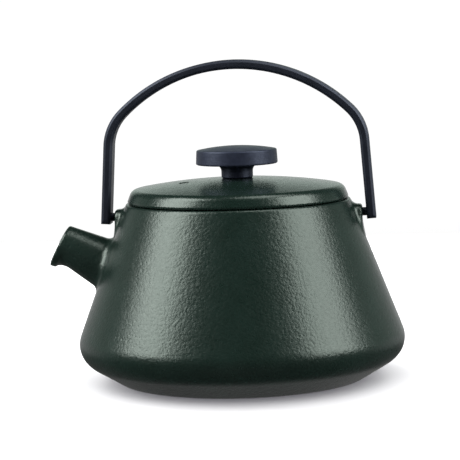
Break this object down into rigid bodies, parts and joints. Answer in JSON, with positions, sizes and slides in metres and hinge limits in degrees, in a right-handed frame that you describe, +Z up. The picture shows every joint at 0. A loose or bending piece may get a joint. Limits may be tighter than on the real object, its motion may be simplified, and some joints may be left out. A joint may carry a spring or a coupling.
{
  "type": "teapot",
  "caption": "Conical enamelled cast-iron teapot with a straight spout, a swinging arched bail, a lift-off domed lid with a disc knob, and a steel infuser basket.",
  "frame": {"origin": "centre of the flat foot, on the surface the pot stands on", "axes": "+Z up along the pot's axis; the spout points along -X and the bail stands in the XZ plane"},
  "size_m": [0.1956, 0.18, 0.1753],
  "materials": {
    "green_enamel": "satin",
    "navy_coat": "matt",
    "stainless_steel": "brushed",
    "silicone": "matt"
  },
  "bodies": {
    "pot": {"pot_body": "green_enamel"},
    "bail": {"bail_handle": "navy_coat", "front_bail_pin": "navy_coat", "rear_bail_pin": "navy_coat"},
    "lid": {"lid": "green_enamel", "lid_knob": "navy_coat", "knob_gasket": "silicone", "knob_washer": "stainless_steel", "knob_screw": "stainless_steel"},
    "infuser": {"infuser_rim": "stainless_steel", "infuser_wall": "stainless_steel", "infuser_floor": "stainless_steel"}
  },
  "joints": [
    {"name": "bail_swing", "type": "hinge", "parent": "pot", "child": "bail", "pos_m": [0, 0, 0.09035], "axis": [1, 0, 0], "range_deg": [-103, 103]},
    {"name": "lid_lift", "type": "slide", "parent": "pot", "child": "lid", "axis": [0, 0, 1], "range_m": [0, 0.034]},
    {"name": "infuser_lift", "type": "slide", "parent": "pot", "child": "infuser", "axis": [0, 0, 1], "range_m": [0, 0.0155]}
  ],
  "couplings": [
    {"joint": "infuser_lift", "follows": "lid_lift", "ratio": 0.45}
  ]
}
